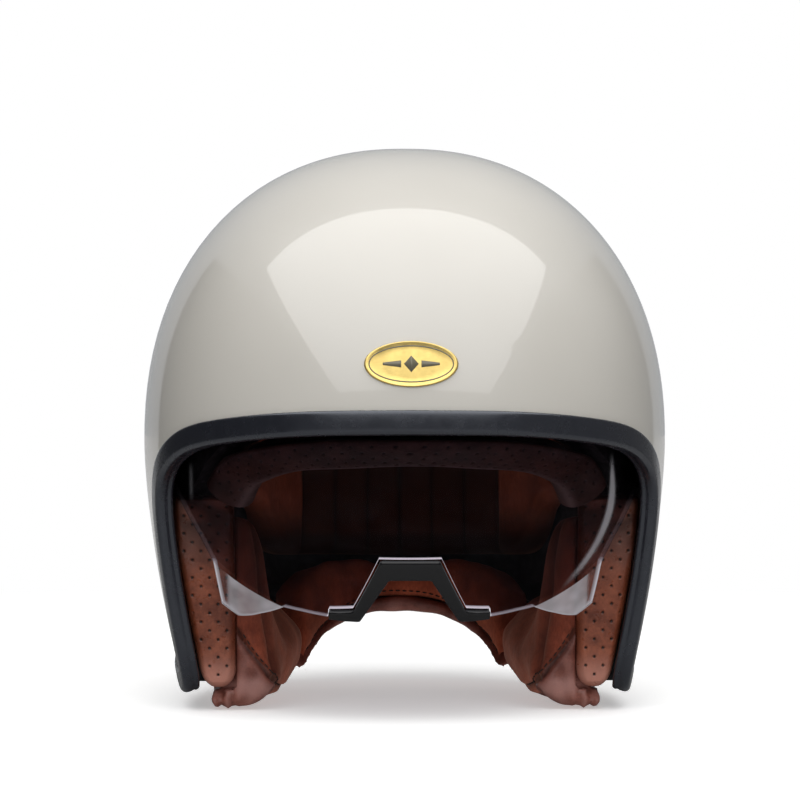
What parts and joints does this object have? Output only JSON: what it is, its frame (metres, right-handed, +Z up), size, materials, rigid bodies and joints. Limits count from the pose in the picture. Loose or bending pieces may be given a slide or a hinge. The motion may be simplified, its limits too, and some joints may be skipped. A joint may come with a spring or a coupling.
{
  "type": "open face helmet",
  "caption": "Open face helmet with gloss shell, rubber edge trim, leather and suede liner, drop-down smoked inner visor and chin straps stowed inside.",
  "frame": {"origin": "bottom centre of the bounding box, on the plane the helmet rests on", "axes": "+X to the wearer's left, the face opening looks along -Y, +Z up"},
  "size_m": [0.2472, 0.2893, 0.264],
  "materials": {
    "cream_paint": "gloss lacquer over fibre composite",
    "black_rubber": "satin",
    "foam": "matt expanded bead foam",
    "suede": "napped suede",
    "brow_leather": "perforated, semi matt",
    "tan_leather": "perforated, semi matt",
    "smoked_lens": "clear, lightly smoked polycarbonate",
    "black_gloss": "gloss",
    "black_plastic": "matt",
    "gold_plate": "polished gold",
    "steel": "satin",
    "webbing": "woven webbing"
  },
  "bodies": {
    "helmet": {"brow_pad": "brow_leather", "cheek_block_left": "foam", "cheek_block_right": "foam", "cheek_front_panel_left": "tan_leather", "cheek_front_panel_right": "tan_leather", "cheek_pad_left": "suede", "cheek_pad_right": "suede", "cheek_plate_left": "black_plastic", "cheek_plate_right": "black_plastic", "crown_liner": "suede", "edge_trim": "black_rubber", "front_badge": "gold_plate", "impact_liner": "foam", "neck_roll": "suede", "neck_welt": "tan_leather", "outer_shell": "cream_paint", "strap_rivet_left": "steel", "strap_rivet_right": "steel", "visor_base_left": "black_plastic", "visor_base_right": "black_plastic", "visor_slot_guide": "black_plastic", "visor_washer_left": "steel", "visor_washer_right": "steel"},
    "visor": {"visor_lens": "smoked_lens", "nose_tab": "black_gloss", "visor_hub_left": "black_gloss", "visor_hub_right": "black_gloss"},
    "strap_left": {"strap_hanger_left": "steel", "chin_strap_left": "webbing"},
    "strap_right": {"strap_hanger_right": "steel", "chin_strap_right": "webbing", "strap_snap": "steel"},
    "ring_inner": {"d_ring_inner": "steel"},
    "ring_outer": {"d_ring_outer": "steel"}
  },
  "joints": [
    {"name": "visor_hinge", "type": "hinge", "parent": "helmet", "child": "visor", "pos_m": [0, -0.004, 0.124], "axis": [-1, 0, 0], "range_deg": [0, 40]},
    {"name": "strap_hinge_left", "type": "hinge", "parent": "helmet", "child": "strap_left", "pos_m": [0.1024, 0.016, 0.032], "axis": [1, 0, 0], "range_deg": [-12, 12]},
    {"name": "strap_hinge_right", "type": "hinge", "parent": "helmet", "child": "strap_right", "pos_m": [-0.1024, 0.016, 0.032], "axis": [1, 0, 0], "range_deg": [-12, 12]},
    {"name": "ring_hinge_inner", "type": "hinge", "parent": "strap_left", "child": "ring_inner", "pos_m": [0.0903, 0.016, 0.057], "axis": [0, 1, 0], "range_deg": [0, 8]},
    {"name": "ring_hinge_outer", "type": "hinge", "parent": "strap_left", "child": "ring_outer", "pos_m": [0.0937, 0.016, 0.057], "axis": [0, 1, 0], "range_deg": [-8, 0]}
  ]
}
